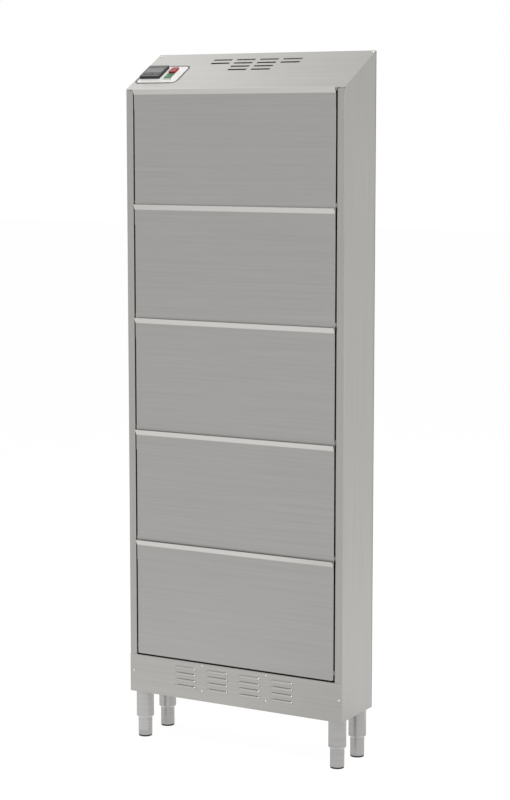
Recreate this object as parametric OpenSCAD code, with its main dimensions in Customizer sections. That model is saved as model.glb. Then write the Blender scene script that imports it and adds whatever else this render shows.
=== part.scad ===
// Drying cabinet for shoes: a tall, shallow sheet-metal body on four adjustable legs, with five
// tilt-out flaps that each carry a perforated shoe tray, a blower and heater behind a louvred
// plinth, and a sloping roof that holds the controls and the air outlet slots.
// The front faces -Y, +X is to the right as seen from the front, +Z is up.
// The origin lies on the floor, at the middle of the footprint.

/* [Body] */
// Width over the side panels
width = 700; // [620:1:900]
// Depth from the flap faces to the back panel
depth = 190; // [186:1:240]
// Height of the body's underside above the floor
leg_height = 140; // [120:1:150]
// Rise of the sloping roof from its front edge to its rear edge
roof_rise = 105; // [80:1:120]
// Sheet thickness of the body and the back panel
body_sheet = 1.5; // [1:0.1:2]
// Inside radius of every sheet bend
bend_radius = 1.2; // [0.8:0.1:2]
// Width of the side panels' front flanges
front_flange = 22.7; // [20:0.5:30]
// Depth of the return behind each front flange, which carries the hinge pins
flange_return = 28; // [27:0.5:32]
// Width of the side panels' rear flanges
rear_flange = 20; // [16:1:26]
// Width of the side panels' top flanges, under the roof
top_flange = 8; // [7:0.5:10]
// Drop of the roof's front fold
roof_front_fold = 10; // [6:1:12]
// Drop of the roof's rear fold
roof_rear_fold = 20; // [15:1:30]
// Width of the small relief cuts at the flange tops
relief_cut = 2.5; // [1:0.5:4]

/* [Flaps] */
// Height from one flap's lip to the next
flap_pitch = 325.3; // [315:0.1:345]
// Dark gap round the flaps
flap_gap = 4; // [3.5:0.1:5]
// Sheet thickness of the flaps
flap_sheet = 1.2; // [1:0.1:1.5]
// Height of the pull lip
lip_height = 16.2; // [10:0.1:22]
// How far the pull lip leans out of the front
lip_out = 8.5; // [5:0.1:14]
// Depth of the flap's side and bottom returns
flap_return = 18; // [17:0.5:20]
// How far below the lip's bend the flap's side returns end
return_drop = 42; // [38:1:55]
// Distance of the hinge axis behind the flap's face
pivot_back = 9; // [8:0.5:10]
// Height of the hinge axis above the flap's lower edge
pivot_up = 22; // [20:0.5:28]
// Angle that an open flap leans out
flap_tilt = 40; // [25:1:45]

/* [Shoe trays] */
// Sheet thickness of the trays
tray_sheet = 1.2; // [0.8:0.1:1.5]
// Depth of a tray behind the flap's face
tray_depth = 151; // [130:1:152]
// Distance from a flap's side edge to the tray's cheek
cheek_inset = 11.5; // [10:0.5:20]
// Height of a tray's back above the hinge axis
tray_back_up = 150; // [120:1:170]
// Height of a tray's cheek at the flap, above the hinge axis
cheek_up = 250; // [200:1:260]
// How far back the cheek keeps its full height
cheek_shoulder = 60; // [30:1:80]
// Width of the fixing tabs that lie against the flap
tray_tab = 12; // [8:1:20]
// Length of an air slot in a tray
tray_slot = 56; // [40:1:60]
// Width of an air slot in a tray
tray_slot_w = 8; // [5:0.5:10]
// Air slots across a tray
tray_slot_columns = 8; // [4:1:8]
// Air slot rows in a tray's back
tray_back_rows = 3; // [1:1:4]
// Air slot rows in a tray's bottom
tray_bottom_rows = 3; // [1:1:4]
// Height of the stop ears above the hinge axis
ear_up = 128; // [115:1:128]
// Height of a stop ear
ear_height = 16; // [10:1:18]
// Length of a stop ear, out from the cheek
ear_length = 28; // [26:0.5:29]

/* [Hinges and buffers] */
// Diameter of a hinge pin
pin_d = 6; // [5:0.5:7]
// Diameter of a hinge pin's head
pin_head_d = 10; // [9:0.5:12]
// Height of a hinge pin's head
pin_head = 3; // [2:0.5:4]
// Running clearance round a hinge pin
pin_clearance = 0.05; // [0.02:0.01:0.1]
// Outer diameter of a flap bush
bush_d = 10; // [9:0.5:11]
// Diameter of a flap bush's flange
bush_flange_d = 14; // [12:0.5:15]
// Thickness of a flap bush's flange
bush_flange = 1; // [0.6:0.1:1.5]
// Length of a flap bush inside the flap
bush_length = 5; // [3:0.5:6]
// Diameter of a stop buffer, which an open flap's ears meet
stop_buffer_d = 12; // [8:0.5:13]
// Length of a stop buffer, in from the side panel
stop_buffer_length = 16; // [14:0.5:18]
// Diameter of a closing buffer, which a shut flap leans on
shut_buffer_d = 8; // [6:0.5:9]
// Length of a closing buffer
shut_buffer_length = 10; // [8:0.5:11]
// Height of the closing buffers above the hinge axis
shut_buffer_up = 230; // [215:1:240]
// Gap between a buffer and what it stops
buffer_gap = 0.3; // [0.2:0.05:0.5]

/* [Roof slots] */
// Length of an outlet slot
vent_length = 60.5; // [40:0.5:64]
// Width of an outlet slot
vent_width = 8; // [4:0.5:10]
// Slot spacing across the roof
vent_pitch = 75.5; // [70:0.5:90]
// Row spacing up the slope
vent_row = 20; // [14:0.5:22]
// Distance of the rear row from the front edge, up the slope
vent_rear = 173; // [165:1:180]
// Middle of the slot pattern, across the roof
vent_middle = -4; // [-20:1:20]

/* [Controls] */
// Width of the control label
label_width = 142; // [140:1:150]
// Length of the control label, up the slope
label_length = 106; // [100:1:120]
// Corner radius of the control label
label_corner = 18; // [5:1:25]
// Thickness of the control label
label_thickness = 0.3; // [0.2:0.1:0.6]
// Middle of the control label, from the left side
label_from_left = 75; // [75:0.5:90]
// Middle of the control label, from the front edge up the slope
label_up = 88.4; // [80:0.1:95]
// Side of the square controller's bezel
controller_size = 66; // [62:1:68]
// Side of the controller's body behind the roof
controller_body = 60; // [50:0.5:60]
// How far the controller's bezel stands proud
controller_proud = 8.5; // [4:0.5:12]
// Depth of the controller's body behind the label
controller_depth = 48; // [30:1:52]
// Middle of the controller, left of the label's middle
controller_left = 30.5; // [28:0.5:31]
// Middle of the controller, up the slope from the label's middle
controller_up = 8; // [0:0.5:12]
// Depth of the recess that holds the controller's face
face_recess = 1; // [0.6:0.1:2]
// Rim of the controller's bezel round its face
face_rim = 2; // [1.5:0.5:6]
// Middle of the push-button unit, right of the label's middle
switch_right = 31.5; // [28:0.5:32]
// Middle of the push-button unit, down the slope from the label's middle
switch_down = 0; // [0:0.5:10]
// Width of the push-button unit
switch_width = 26; // [24:0.5:30]
// Length of the push-button unit
switch_length = 60; // [58:1:64]
// How far the push-button unit's body stands proud
switch_proud = 3.5; // [3:0.5:5]
// Diameter of the push-button unit's barrel
barrel_d = 22; // [16:0.5:22.5]
// Length of the barrel below the label
barrel_length = 10; // [8:0.5:14]
// Width of a button cap
button_width = 22; // [18:0.5:22.5]
// Length of a button cap
button_length = 26.5; // [22:0.5:27]
// Spacing of the two button caps
button_pitch = 29.5; // [28.5:0.5:30]
// Travel of a button
button_travel = 2; // [1:0.1:2]
// Height of the green cap above the unit's body
start_proud = 1.2; // [0.2:0.1:2]
// Height of the red cap above the unit's body
stop_proud = 5; // [4:0.5:10]
// Clearance round a button cap
button_clearance = 0.2; // [0.1:0.05:0.3]
// Depth of the control box under the roof
box_depth = 62; // [58:1:66]
// Sheet thickness of the control box
box_sheet = 1; // [0.8:0.1:1.5]

/* [Plinth] */
// Height of the plinth panel
plinth_height = 112.3; // [112:0.1:116]
// Depth of the plinth panel's top return
plinth_return = 12; // [8:0.5:16]
// Length of a louvre
louvre_length = 71; // [50:1:80]
// Radius of a louvre's hood
louvre_radius = 6; // [4:0.5:7]
// Louvre spacing across the plinth
louvre_pitch = 106.7; // [100:0.1:115]
// Louvre row spacing
louvre_row = 18.2; // [16:0.1:20]
// Height of the lowest louvre's mouth above the body's underside
louvre_first = 35; // [25:0.5:38]
// Wall of a louvre's hood
louvre_wall = 1.2; // [0.8:0.1:1.5]

/* [Floor and air plate] */
// Height of the floor pan's upturned edges
pan_edge = 18; // [12:1:25]
// Gap between the plinth's top return and the chamber floor
chamber_gap = 1.5; // [0.5:0.5:3]
// Depth of the chamber floor's downturned edges
chamber_edge = 12; // [8:1:15]
// Length of an air slot in the chamber floor
chamber_slot = 62; // [40:1:64]
// Width of an air slot in the chamber floor
chamber_slot_w = 9; // [5:0.5:12]

/* [Blower and heater] */
// Length of the blower rotor
rotor_length = 176; // [140:1:200]
// Outer radius of the blower rotor
rotor_radius = 30; // [24:0.5:32]
// Radial depth of a rotor blade
blade_depth = 6.5; // [4:0.5:8]
// Thickness of a rotor blade
blade_thickness = 0.8; // [0.6:0.1:1.2]
// Number of rotor blades
blade_count = 20; // [12:1:24]
// Diameter of the rotor shaft
shaft_d = 6; // [5:0.5:8]
// Smallest gap between the rotor and its housing
rotor_gap = 3; // [2:0.5:4]
// Growth of that gap round the scroll
scroll_growth = 14; // [8:1:16]
// Sheet thickness of the blower housing
housing_sheet = 1.2; // [1:0.1:1.5]
// Distance of the rotor's axis behind the flap faces
rotor_back = 74; // [70:1:90]
// Depth of the rotor's axis below the heater frame
rotor_drop = 34.3; // [33:0.1:37]
// Width of the fixing tabs on the blower housing
housing_tab = 22; // [16:1:24]
// Height of the heater frame
heater_height = 22; // [20:1:26]
// Diameter of the heater tube
heater_tube_d = 8; // [6:0.5:8.5]
// Straight passes of the heater tube
heater_passes = 4; // [2:2:4]
// Spacing of the heater tube's passes
heater_pitch = 16; // [12:0.5:17]
// Width of the motor's core, front to back
motor_width = 58; // [44:1:64]
// Height of the motor's core
motor_height = 52; // [40:1:60]
// Thickness of the motor's core
motor_core = 24; // [16:1:30]
// Diameter of the rotor's bearing
bearing_d = 22; // [18:0.5:26]
// Length of the rotor's bearing
bearing_length = 8; // [6:0.5:10]

/* [Legs] */
// Outer diameter of a leg sleeve
sleeve_d = 51; // [45:0.5:52]
// Length of a leg sleeve
sleeve_length = 80; // [75:1:90]
// Diameter of a foot
foot_d = 40.8; // [34:0.1:42]
// Length of a foot inside its sleeve
foot_inside = 36; // [30:1:38]
// Wall of a foot
foot_wall = 2; // [1.5:0.1:3]
// Running clearance round a foot
foot_clearance = 0.08; // [0.02:0.01:0.1]
// Height of a foot pad
pad_height = 5; // [3:0.5:8]
// How much smaller a foot pad is than its foot, in diameter
pad_step = 1.4; // [0.5:0.1:3]
// Bevel at a sleeve's lower rim
sleeve_bevel = 1.5; // [0.5:0.1:2.5]
// Distance of the leg axes from the sides
leg_from_side = 29.7; // [27:0.1:40]
// Distance of the front leg axes behind the flap faces
leg_from_front = 33; // [30:1:45]
// Distance of the rear leg axes before the back
leg_from_back = 32; // [30:1:45]
// Diameter of a leg's fixing stud
stud_d = 10; // [8:1:12]
// Length of a leg's fixing stud above the floor pan
stud_length = 13; // [10:1:16]
// Height of a leg nut
nut_height = 8; // [6:0.5:9]

/* [Screws] */
// Diameter of a screw's shank
screw_d = 4; // [3:0.5:5]
// Length of a screw's shank
screw_length = 8; // [6:0.5:10]
// Diameter of a screw's head
screw_head_d = 8.5; // [7:0.5:9]
// Height of a screw's head
screw_head = 2.6; // [2:0.1:3]
// Clearance round a fixed screw, pin, bush or stud
fit_clearance = 0.1; // [0.05:0.05:0.2]
// Height of the outer plinth screws above the body's underside
side_screw_up = 62; // [30:1:90]
// Height of the lower blower screws above the body's underside
blower_screw_low = 29; // [25:1:40]
// Height of the upper blower screws above the body's underside
blower_screw_high = 103.5; // [90:0.5:104]
// Half the spacing of the blower screws
blower_screw_x = 106; // [104:1:108]
// Diameter of a wall fixing hole in the back panel
wall_hole_d = 9; // [6:0.5:12]
// Spacing of the wall fixing holes
wall_hole_pitch = 360; // [200:10:400]
// Height of the wall fixing holes above the body's underside
wall_hole_up = 1800; // [1700:5:1820]

/* [Hidden] */
flap_count = 5;
FLAPS = [1:flap_count];
LEGS = [1:4];

$fn = 48;
steel = "#a9a8a5";
bright_steel = "#c6c5c3";
black_plastic = "#26272a";
bend_steps = 5;
joint = 0.3;                                    // hairline between butted sheets
adhesive = 0.02;                                // thin layer that holds the label on the roof
far = 3000;                                     // larger than the cabinet, for cutting away

side_x = width / 2;
inner_x = side_x - body_sheet;
opening_x = side_x - front_flange;              // half the opening between the front flanges
front_y = -(depth - lip_out) / 2;
rear_y = front_y + depth;
flange_front = front_y + body_sheet;            // inner face of the front flanges
lower_flange_y = flange_front + body_sheet;     // inner face of the flanges set back behind the plinth
seat_y = rear_y - body_sheet;                   // where the back panel lies on the rear flanges
inner_rear = seat_y - body_sheet;

body_z = leg_height;
pan_top = body_z + body_sheet;
plinth_z = body_z + plinth_height;
chamber_top = plinth_z - body_sheet - chamber_gap;
chamber_low = chamber_top - body_sheet;
lip_z = plinth_z + flap_gap / 2;                // the first lip bends out one pitch above this
roof_front_z = lip_z + flap_count * flap_pitch + lip_height;
roof_rear_z = roof_front_z + roof_rise;
roof_angle = atan(roof_rise / depth);
roof_length = depth / cos(roof_angle);
roof_low = -body_sheet;                         // underside of the roof sheet, from its outer face

flap_x = opening_x - flap_gap;
pivot_y = front_y + pivot_back;
cheek_x = flap_x - cheek_inset;
ear_y = tray_depth - tray_sheet - pivot_back;   // front of a stop ear, behind the hinge axis
stop_y = ear_y - stop_buffer_d / 2 - buffer_gap;
stop_buffer_y = pivot_y + stop_y * cos(flap_tilt) - ear_up * sin(flap_tilt);
stop_buffer_up = stop_y * sin(flap_tilt) + ear_up * cos(flap_tilt);
shut_buffer_y = front_y + flap_return + buffer_gap + shut_buffer_d / 2;

label_x = -side_x + label_from_left;
controller_x = label_x - controller_left;
controller_s = label_up + controller_up;
switch_x = label_x + switch_right;
switch_s = label_up - switch_down;
box_x = [-inner_x + top_flange + joint, label_x + label_width / 2];
box_s = [label_up - label_length / 2,
         (inner_rear - front_y - box_depth * sin(roof_angle) - joint) / cos(roof_angle)];
duct_size = [30, 25];
well_floor = label_thickness + 0.6;             // bottom of the button wells, from the roof's outer face
body_top = label_thickness + switch_proud;
cap_low = well_floor + button_travel + joint;

heater_low = chamber_low - heater_height;
rotor_y = front_y + rotor_back;
rotor_z = heater_low - rotor_drop;
end_x = blower_screw_x - housing_tab / 2;       // outer face of the blower's end plates
tongue_y = rotor_y - rotor_radius * 0.85 - housing_sheet;
scroll_y = rotor_y + rotor_radius + rotor_gap + scroll_growth + housing_sheet;
tab_low = body_z + pan_edge + 2;

leg_x = side_x - leg_from_side;
leg_front_y = front_y + leg_from_front;
leg_rear_y = rear_y - leg_from_back;
sleeve_low = body_z - sleeve_length;            // the feet show below this, down to the floor
gland_x = side_x - 110;
gland_y = inner_rear - 32;
gland_thread_d = 20;

blower_screws = [for (s = [-1, 1], up = [blower_screw_low, blower_screw_high])
    [s * blower_screw_x, body_z + up]];
side_screws = [for (s = [-1, 1]) [s * (side_x - 10), body_z + side_screw_up]];
plinth_screw_places = concat(side_screws, blower_screws);
back_screw_rows = 7;
back_top = roof_rear_z - roof_rear_fold - joint;
back_screw_pitch = (back_top - body_z - 60) / (back_screw_rows - 1);
back_screw_places = [for (s = [-1, 1], k = [0:back_screw_rows - 1])
    [s * (side_x - rear_flange / 2), body_z + 30 + k * back_screw_pitch]];
roof_screw_s = roof_length - 12;
roof_screw_x = inner_x - top_flange / 2;

// Lower edge of a flap, counted from the lowest
function flap_z(i) = lip_z + (i - 1) * flap_pitch + flap_gap / 2;
// Height at which a flap's pull lip bends out
function root_z(i) = lip_z + i * flap_pitch;
// Height of a flap's hinge axis
function pivot_z(i) = flap_z(i) + pivot_up;
// Axis of a leg: front left, front right, rear left, rear right
function leg_at(i) = [i % 2 == 1 ? -leg_x : leg_x, i < 3 ? leg_front_y : leg_rear_y];

// Outline of a folded sheet seen end on. The corners p lie on one face of the sheet and the sheet
// lies to the left of them, t thick, with inside bend radius r.
function unit(v) = v / norm(v);
function left_of(v) = [-v[1], v[0]];
function turned(v, a) = [v[0] * cos(a) - v[1] * sin(a), v[0] * sin(a) + v[1] * cos(a)];
function bend_angle(p, i) =
    let (a = unit(p[i] - p[i - 1]), b = unit(p[i + 1] - p[i]))
    atan2(a[0] * b[1] - a[1] * b[0], a * b);
function bend(p, i, t, r, over) =
    let (d = unit(p[i] - p[i - 1]), a = bend_angle(p, i), s = sign(a),
         near = s > 0 ? r + t : r,
         centre = p[i] - d * near * tan(abs(a) / 2) + s * near * left_of(d),
         radius = over ? near - s * t : near)
    [for (k = [0:bend_steps]) centre + radius * turned(-s * left_of(d), a * k / bend_steps)];
function fold(p, t, r) =
    let (last = len(p) - 1,
         start = t * left_of(unit(p[1] - p[0])),
         end = t * left_of(unit(p[last] - p[last - 1])),
         near = [p[0], for (i = [1:last - 1]) each bend(p, i, t, r, false), p[last]],
         over = [p[0] + start, for (i = [1:last - 1]) each bend(p, i, t, r, true), p[last] + end])
    concat(near, [for (i = [len(over) - 1:-1:0]) over[i]]);

// Extrudes an outline drawn in Y and Z along X, from x0 to x1
module along_x(x0, x1) {
    translate([x0, 0, 0]) rotate([90, 0, 90]) linear_extrude(x1 - x0) children();
}

// A block given by two opposite corners
module block(low, high) {
    translate(low) cube(high - low);
}

// A round bar or bore along X, from x0 to x1, about a point in Y and Z
module bar_x(x0, x1, y, z, d) {
    translate([x0, y, z]) rotate([0, 90, 0]) cylinder(h = x1 - x0, d = d);
}

// Places things on the roof: x across, s up the slope from the front edge, h out from the outer face
module on_roof(x = 0, s = 0, h = 0) {
    translate([x, front_y, roof_front_z]) rotate([roof_angle, 0, 0]) translate([0, s, h]) children();
}

// Everything above a plane that is parallel to the roof
module above_roof(h) {
    on_roof(0, 0, h) translate([-far / 2, -far / 2, 0]) cube(far);
}

module rounded_rect(size, r) {
    for (q = [[r, 0], [0, r]])
        square([size[0] - 2 * q[0], size[1] - 2 * q[1]], center = true);
    for (sx = [-1, 1], sy = [-1, 1])
        translate([sx * (size[0] / 2 - r), sy * (size[1] / 2 - r)]) circle(r);
}

module cross_recess() {
    for (a = [0, 90])
        rotate([0, 0, a]) translate([-screw_head_d / 4, -0.5, -1.2]) cube([screw_head_d / 2, 1, 2]);
}

// Pan-head screw: its head stands on z = 0 and its shank points down
module pan_screw(length) {
    cap_r = (screw_head_d * screw_head_d / 4 + screw_head * screw_head) / (2 * screw_head);
    color(bright_steel) difference() {
        union() {
            intersection() {
                translate([0, 0, screw_head - cap_r]) sphere(cap_r);
                cylinder(h = screw_head, d = screw_head_d);
            }
            translate([0, 0, -length]) cylinder(h = length + screw_head / 3, d = screw_d);
        }
        translate([0, 0, screw_head]) cross_recess();
    }
}

// Countersunk shape, flush with z = 0, larger by the clearance c all round
module sunk_shape(length, c) {
    depth_of_head = (screw_head_d - screw_d) / 2;
    translate([0, 0, -depth_of_head])
        cylinder(h = depth_of_head, d1 = screw_d + 2 * c, d2 = screw_head_d + 2 * c);
    translate([0, 0, -length]) cylinder(h = length, d = screw_d + 2 * c);
}

// Notches that keep a plate's corners off the inner bends of the side panels
module corner_notches() {
    size = body_sheet + bend_radius;
    for (x = [-inner_x, inner_x - size], y = [lower_flange_y, inner_rear - size])
        translate([x, y, 0]) cube([size, size, far]);
}

// ---------------------------------------------------------------- body shell

// The left side: wall, front flange with its return, rear flange, and a narrow flange under the roof.
// Behind the plinth its front flange is set back by one sheet.
module side_panel() {
    rear = [[-side_x + rear_flange, seat_y], [-side_x, seat_y]];
    upper = concat(rear, [[-side_x, front_y], [-opening_x, front_y],
                          [-opening_x, front_y + flange_return]]);
    lower = concat(rear, [[-side_x, flange_front], [-opening_x, flange_front]]);
    lap = 10;
    color(steel) difference() {
        union() {
            translate([0, 0, body_z])
                linear_extrude(plinth_height + joint + lap) polygon(fold(lower, body_sheet, bend_radius));
            translate([0, 0, plinth_z + joint])
                linear_extrude(roof_rear_z - plinth_z) polygon(fold(upper, body_sheet, bend_radius));
            on_roof(0, 0, 2 * roof_low)
                block([-side_x, relief_cut * 3, 0], [-inner_x + top_flange, roof_length - 4, body_sheet]);
        }
        above_roof(roof_low);
        bar_x(-side_x - 1, 0, seat_y, roof_rear_z - body_sheet * (tan(roof_angle) + 1 / cos(roof_angle)),
              2 * bend_radius * tan(45 + roof_angle / 2) + joint);
        for (x = [-side_x, -opening_x - 3 * relief_cut])
            translate([x, front_y - 1, roof_front_z - body_sheet - relief_cut])
                cube([relief_cut, body_sheet + 2, 2 * relief_cut]);
        for (i = FLAPS)
            bar_x(-side_x + rear_flange, 0, pivot_y, pivot_z(i), pin_d + fit_clearance);
        for (p = side_screws)
            translate([-abs(p[0]), flange_front - 1, p[1]]) rotate([-90, 0, 0])
                cylinder(h = body_sheet + 2, d = screw_d + 2 * fit_clearance);
        for (p = back_screw_places)
            translate([-abs(p[0]), rear_y, p[1]]) rotate([-90, 0, 0])
                sunk_shape(screw_length + 1, fit_clearance);
        on_roof(-roof_screw_x, roof_screw_s, 0)
            translate([0, 0, -screw_length]) cylinder(h = screw_length, d = screw_d + 2 * fit_clearance);
    }
}

module left_side_panel() { side_panel(); }
module right_side_panel() { mirror([1, 0, 0]) side_panel(); }

module back_panel() {
    color(steel) difference() {
        block([-side_x, seat_y, body_z], [side_x, rear_y, back_top]);
        for (p = back_screw_places)
            translate([p[0], rear_y, p[1]]) rotate([-90, 0, 0])
                sunk_shape(screw_length + 1, fit_clearance);
        for (s = [-1, 1])
            translate([s * wall_hole_pitch / 2, seat_y - 1, body_z + wall_hole_up]) rotate([-90, 0, 0])
                cylinder(h = body_sheet + 2, d = wall_hole_d);
    }
}

// Outlet slots: two rows of four, and two shorter rows below the middle pair
module vent_slots() {
    for (row = [0:3], column = [-1.5:1.5])
        if (row < 2 || abs(column) < 1)
            on_roof(vent_middle + column * vent_pitch, vent_rear - row * vent_row, 0)
                cube([vent_length, vent_width, 4 * body_sheet], center = true);
}

module roof_panel() {
    plain = [[rear_y, roof_rear_z - roof_rear_fold], [rear_y, roof_rear_z], [front_y, roof_front_z]];
    folded = concat(plain, [[front_y, roof_front_z - roof_front_fold]]);
    fold_x = opening_x - joint;
    color(steel) difference() {
        union() {
            along_x(-fold_x, fold_x) polygon(fold(folded, body_sheet, bend_radius));
            along_x(-side_x, -fold_x) polygon(fold(plain, body_sheet, bend_radius));
            along_x(fold_x, side_x) polygon(fold(plain, body_sheet, bend_radius));
        }
        vent_slots();
        on_roof(controller_x, controller_s, 0)
            cube([controller_body + 1, controller_body + 1, 4 * body_sheet], center = true);
        on_roof(switch_x, switch_s, -body_sheet - 1)
            cylinder(h = body_sheet + 2, d = barrel_d + 2 * fit_clearance);
        for (s = [-1, 1])
            on_roof(s * roof_screw_x, roof_screw_s, -body_sheet - 1)
                cylinder(h = body_sheet + 2, d = screw_d + 2 * fit_clearance);
    }
}

// Half of a capsule with its flat side down: the inside or outside of a louvre's hood
module hood(r, y_back) {
    straight = louvre_length - 2 * louvre_radius;
    intersection() {
        union() {
            bar_x(-straight / 2, straight / 2, 0, 0, 2 * r);
            for (s = [-1, 1])
                translate([s * straight / 2, 0, 0]) sphere(r);
        }
        translate([-louvre_length, -2 * r, 0]) cube([2 * louvre_length, 2 * r + y_back, 2 * r]);
    }
}

module louvre_places() {
    for (column = [-1.5:1.5], row = [0:3])
        translate([column * louvre_pitch, flange_front, body_z + louvre_first + row * louvre_row]) children();
}

module plinth_panel() {
    profile = [[front_y + plinth_return, plinth_z], [front_y, plinth_z], [front_y, body_z]];
    fold_x = opening_x - joint;
    color(steel) difference() {
        union() {
            along_x(-fold_x, fold_x) polygon(fold(profile, body_sheet, bend_radius));
            for (s = [-1, 1])
                translate([s * (fold_x + side_x) / 2, front_y + body_sheet / 2, body_z + plinth_height / 2])
                    cube([side_x - fold_x, body_sheet, plinth_height], center = true);
            louvre_places() hood(louvre_radius, 0);
        }
        louvre_places() hood(louvre_radius - louvre_wall, louvre_radius);
        for (p = plinth_screw_places)
            translate([p[0], front_y - 1, p[1]]) rotate([-90, 0, 0])
                cylinder(h = body_sheet + 2, d = screw_d + 2 * fit_clearance);
    }
}

// Base plate with upturned edges, on which the legs, the blower and the gland are fixed
module floor_pan() {
    low = [-inner_x, lower_flange_y, body_z];
    high = [inner_x, inner_rear, body_z + pan_edge];
    wall = [body_sheet, body_sheet, 0];
    color(steel) difference() {
        block(low, high);
        block(low + wall + [0, 0, body_sheet], high - wall + [0, 0, 1]);
        corner_notches();
        for (i = LEGS)
            translate([leg_at(i)[0], leg_at(i)[1], body_z - 1])
                cylinder(h = body_sheet + 2, d = stud_d + 2 * fit_clearance);
        translate([gland_x, gland_y, body_z - 1])
            cylinder(h = body_sheet + 2, d = gland_thread_d + 2 * fit_clearance);
    }
}

// Slotted plate over the blower and heater space
module chamber_floor() {
    columns = 8;
    rows = [0.2, 0.5, 0.86];
    span = 2 * inner_x / columns;
    run = inner_rear - lower_flange_y;
    edge_low = chamber_low - chamber_edge;
    color(steel) difference() {
        union() {
            block([-inner_x, lower_flange_y, chamber_low], [inner_x, inner_rear, chamber_top]);
            for (x = [-inner_x, inner_x - body_sheet])
                block([x, lower_flange_y, edge_low], [x + body_sheet, inner_rear, chamber_top]);
        }
        for (k = [0:columns - 1], row = rows)
            translate([-inner_x + (k + 0.5) * span, lower_flange_y + row * run, chamber_low])
                cube([chamber_slot, chamber_slot_w, 4 * body_sheet], center = true);
        corner_notches();
        block([-inner_x + 5, inner_rear - duct_size[1] + 5, chamber_low - 1],
              [-inner_x + duct_size[0] - 5, inner_rear - 5, chamber_top + 1]);
    }
}

// Closed box under the roof that keeps the wiring away from the warm air
module control_box() {
    low = [box_x[0], box_s[0], -box_depth];
    high = [box_x[1], box_s[1], roof_low];
    wall = [box_sheet, box_sheet, 0];
    rim = 8;
    color(steel) difference() {
        on_roof() difference() {
            union() {
                block(low, high);
                block([low[0], low[1] - rim, roof_low - box_sheet], [high[0] + rim, high[1], roof_low]);
            }
            block(low + wall + [0, 0, box_sheet], high - wall + [0, 0, 1]);
        }
        block([box_x[0] + 2, inner_rear - duct_size[1] + 4, roof_front_z - far / 2],
              [-inner_x + duct_size[0] - 2, inner_rear - 6, roof_rear_z - box_depth - 5]);
    }
}

// Channel in the left rear corner for the wires between the base and the control box
module wire_duct() {
    low = [-inner_x, inner_rear - duct_size[1], chamber_top];
    high = [-inner_x + duct_size[0], inner_rear, roof_rear_z];
    color(steel) difference() {
        block(low, high);
        block(low + [box_sheet, box_sheet, -1], high + [-box_sheet, 1, 1]);
        corner_notches();
        above_roof(-box_depth);
    }
}

// ---------------------------------------------------------------- flaps

module flap_panel(i) {
    low = flap_z(i);
    root = root_z(i);
    corner = bend_radius + flap_sheet;
    side = [[front_y - lip_out, root + lip_height], [front_y, root], [front_y, low],
            [front_y + flap_return, low]];
    plan = [[-flap_x, front_y + flap_return], [-flap_x, front_y], [flap_x, front_y],
            [flap_x, front_y + flap_return]];
    color(steel) difference() {
        union() {
            along_x(corner - flap_x, flap_x - corner) polygon(fold(side, flap_sheet, bend_radius));
            intersection() {
                along_x(-flap_x, flap_x) polygon(fold(side, flap_sheet, bend_radius));
                translate([-far / 2, -far / 2, root - return_drop]) cube(far);
            }
            translate([0, 0, low + corner])
                linear_extrude(root - low - corner - return_drop) polygon(fold(plan, flap_sheet, bend_radius));
        }
        bar_x(-side_x, side_x, pivot_y, pivot_z(i), bush_d + fit_clearance);
    }
}

// Perforated tray behind a flap: bottom, back, two cheeks with fixing tabs and stop ears
module shoe_tray(i) {
    low = flap_z(i) + flap_sheet;
    axis = pivot_z(i);
    face = front_y + flap_sheet;
    rear = front_y + tray_depth;
    clear = tray_sheet + bend_radius;           // keeps the tray off the flap's inner bend
    cheek = [[face + clear, low], [rear, low], [rear, axis + tray_back_up],
             [front_y + cheek_shoulder, axis + cheek_up], [face, axis + cheek_up], [face, low + clear]];
    inner = cheek_x - tray_sheet;
    span = 2 * inner / tray_slot_columns;
    back_height = axis + tray_back_up - low;
    bottom_row = (tray_depth - flap_return) / tray_bottom_rows;
    color(bright_steel) difference() {
        union() {
            for (s = [0, 1])
                mirror([s, 0, 0]) {
                    along_x(inner, cheek_x) polygon(cheek);
                    block([cheek_x - tray_tab, face, low + clear],
                          [cheek_x, face + tray_sheet, axis + cheek_up]);
                    block([inner, rear - tray_sheet, axis + ear_up - ear_height / 2],
                          [cheek_x + ear_length, rear, axis + ear_up + ear_height / 2]);
                }
            block([-inner, face + clear, low], [inner, rear, low + tray_sheet]);
            block([-inner, rear - tray_sheet, low], [inner, rear, axis + tray_back_up]);
        }
        for (k = [0:tray_slot_columns - 1]) {
            x = -inner + (k + 0.5) * span;
            for (row = [0:tray_back_rows - 1])
                translate([x, rear, low + (row + 0.6) * back_height / (tray_back_rows + 0.2)])
                    cube([tray_slot, 4 * tray_sheet, tray_slot_w], center = true);
            for (row = [0:tray_bottom_rows - 1])
                translate([x, front_y + flap_return + (row + 0.5) * bottom_row, low])
                    cube([tray_slot, tray_slot_w, 4 * tray_sheet], center = true);
        }
    }
}

module flap_bushes(i) {
    color("#e9e6dc")
        for (s = [0, 1])
            mirror([s, 0, 0]) difference() {
                union() {
                    bar_x(flap_x - bush_length, flap_x, pivot_y, pivot_z(i), bush_d);
                    bar_x(flap_x, flap_x + bush_flange, pivot_y, pivot_z(i), bush_flange_d);
                }
                bar_x(0, side_x, pivot_y, pivot_z(i), pin_d + 2 * pin_clearance);
            }
}

module hinge_pins() {
    seat = opening_x + body_sheet;
    color(bright_steel)
        for (i = FLAPS, s = [0, 1])
            mirror([s, 0, 0]) {
                bar_x(flap_x - bush_length, seat, pivot_y, pivot_z(i), pin_d);
                bar_x(seat, seat + pin_head, pivot_y, pivot_z(i), pin_head_d);
            }
}

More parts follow.
